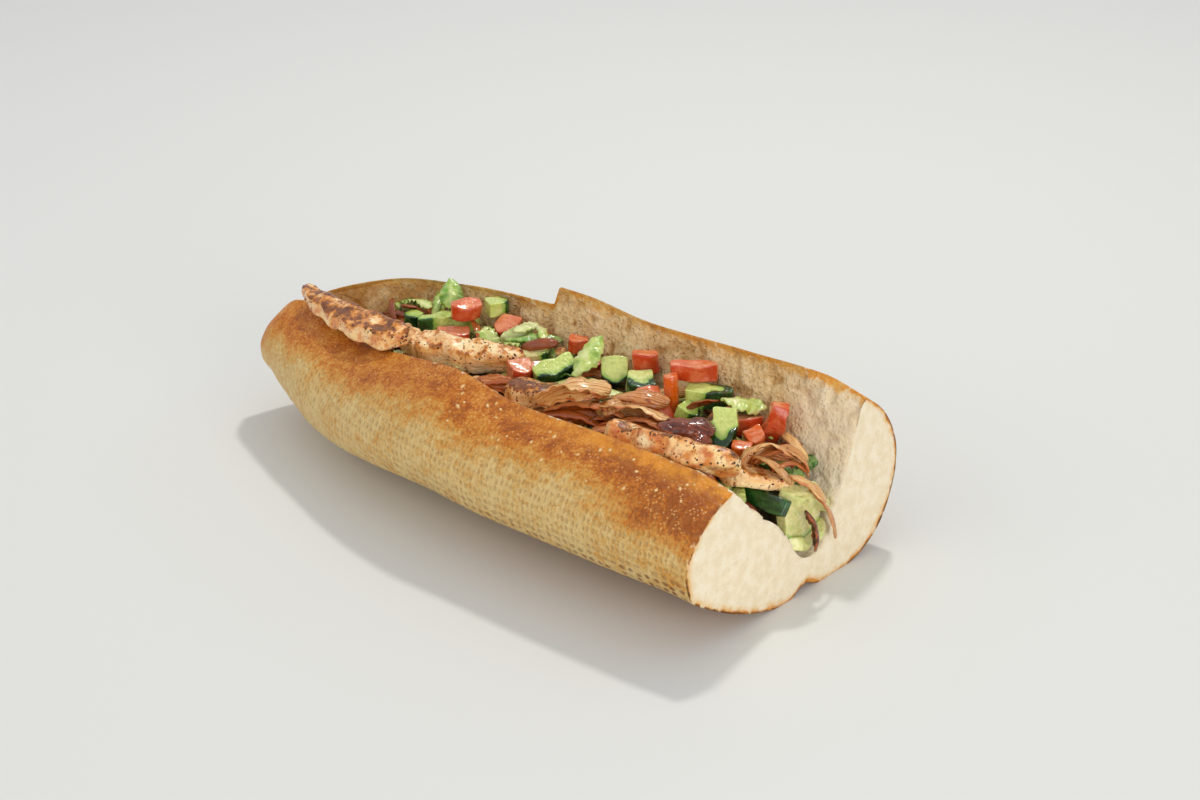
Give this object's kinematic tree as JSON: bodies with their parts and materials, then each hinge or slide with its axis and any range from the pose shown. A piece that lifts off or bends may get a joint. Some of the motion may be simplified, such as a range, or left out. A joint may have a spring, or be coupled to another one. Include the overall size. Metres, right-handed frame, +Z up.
{
  "type": "submarine sandwich",
  "caption": "Half a long white roll, split and laid open on its hinge, filled with grilled chicken strips, diced cucumber and tomato, lettuce and fried onion.",
  "frame": {"origin": "on the table under the middle of the roll's box", "axes": "+X along the roll toward its cut end, +Y toward the tall back half, +Z up"},
  "size_m": [0.28, 0.1338, 0.0736],
  "materials": {
    "crust": "baked crust, cream crumb where cut or torn",
    "grilled_chicken": "browned, slightly oily",
    "cucumber": "wet, dark skin and pale flesh",
    "tomato": "wet",
    "fried_onion": "oily, translucent",
    "lettuce": "satin leaf"
  },
  "bodies": {
    "root": {"bread_roll": "crust", "chicken_1": "grilled_chicken", "chicken_2": "grilled_chicken", "chicken_3": "grilled_chicken", "chicken_4": "grilled_chicken", "chicken_5": "grilled_chicken", "cucumber_1": "cucumber", "cucumber_10": "cucumber", "cucumber_11": "cucumber", "cucumber_12": "cucumber", "cucumber_13": "cucumber", "cucumber_14": "cucumber", "cucumber_2": "cucumber", "cucumber_3": "cucumber", "cucumber_4": "cucumber", "cucumber_5": "cucumber", "cucumber_6": "cucumber", "cucumber_7": "cucumber", "cucumber_8": "cucumber", "cucumber_9": "cucumber", "lettuce_1": "lettuce", "lettuce_2": "lettuce", "lettuce_3": "lettuce", "lettuce_4": "lettuce", "lettuce_5": "lettuce", "lettuce_bed": "lettuce", "onion_1": "fried_onion", "onion_2": "fried_onion", "onion_3": "fried_onion", "onion_4": "fried_onion", "onion_5": "fried_onion", "onion_6": "fried_onion", "onion_7": "fried_onion", "onion_8": "fried_onion", "onion_9": "fried_onion", "tomato_1": "tomato", "tomato_10": "tomato", "tomato_11": "tomato", "tomato_12": "tomato", "tomato_13": "tomato", "tomato_14": "tomato", "tomato_15": "tomato", "tomato_2": "tomato", "tomato_3": "tomato", "tomato_4": "tomato", "tomato_5": "tomato", "tomato_6": "tomato", "tomato_7": "tomato", "tomato_8": "tomato", "tomato_9": "tomato"}
  },
  "joints": []
}
